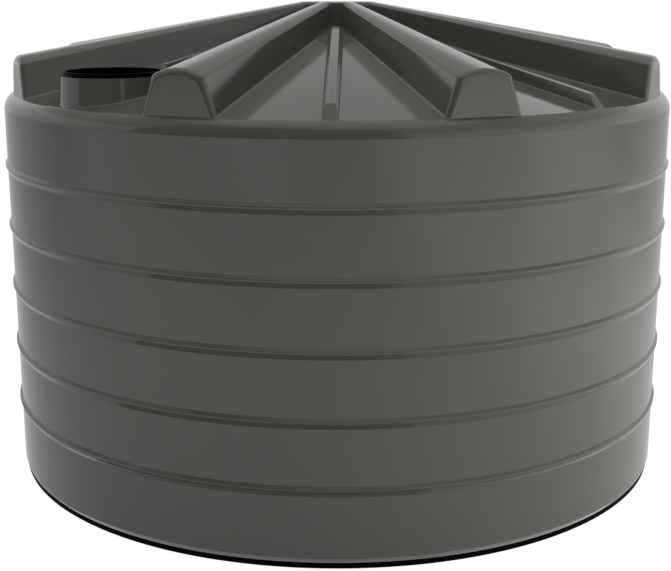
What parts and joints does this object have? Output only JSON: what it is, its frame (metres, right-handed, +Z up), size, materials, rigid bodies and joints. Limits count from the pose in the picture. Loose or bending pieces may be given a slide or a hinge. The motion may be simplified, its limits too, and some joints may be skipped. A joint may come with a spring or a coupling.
{
  "type": "round water tank",
  "caption": "Round moulded plastic water tank with hoops round its wall, a low conical roof stiffened by raised ribs, and a collared inlet with a strainer.",
  "frame": {"origin": "centre of the tank's underside, on the floor", "axes": "+Z up the tank's axis, -Y towards the front, +X to the right seen from the front"},
  "size_m": [3.624, 3.624, 2.4992],
  "materials": {
    "tank_plastic": "smooth moulded polyethylene with a low sheen",
    "strainer_plastic": "black moulded plastic",
    "strainer_mesh": "dull steel mesh"
  },
  "bodies": {
    "root": {"base_floor": "tank_plastic", "wall_front": "tank_plastic", "wall_front_right": "tank_plastic", "wall_right": "tank_plastic", "wall_back_right": "tank_plastic", "wall_back": "tank_plastic", "wall_back_left": "tank_plastic", "wall_left": "tank_plastic", "wall_front_left": "tank_plastic", "roof_front": "tank_plastic", "roof_front_right": "tank_plastic", "roof_right": "tank_plastic", "roof_back_right": "tank_plastic", "roof_back": "tank_plastic", "roof_back_left": "tank_plastic", "roof_left": "tank_plastic", "roof_front_left": "tank_plastic", "roof_crown": "tank_plastic", "main_rib_1": "tank_plastic", "main_rib_2": "tank_plastic", "main_rib_3": "tank_plastic", "main_rib_4": "tank_plastic", "main_rib_5": "tank_plastic", "main_rib_6": "tank_plastic", "main_rib_7": "tank_plastic", "main_rib_8": "tank_plastic", "small_rib_front": "tank_plastic", "small_rib_front_right": "tank_plastic", "small_rib_right": "tank_plastic", "small_rib_back_right": "tank_plastic", "small_rib_back": "tank_plastic", "small_rib_back_left": "tank_plastic", "small_rib_left": "tank_plastic", "small_rib_front_left": "tank_plastic", "inlet_collar": "tank_plastic", "strainer_rim": "strainer_plastic", "strainer_basket": "strainer_plastic", "strainer_mesh": "strainer_mesh"}
  },
  "joints": []
}
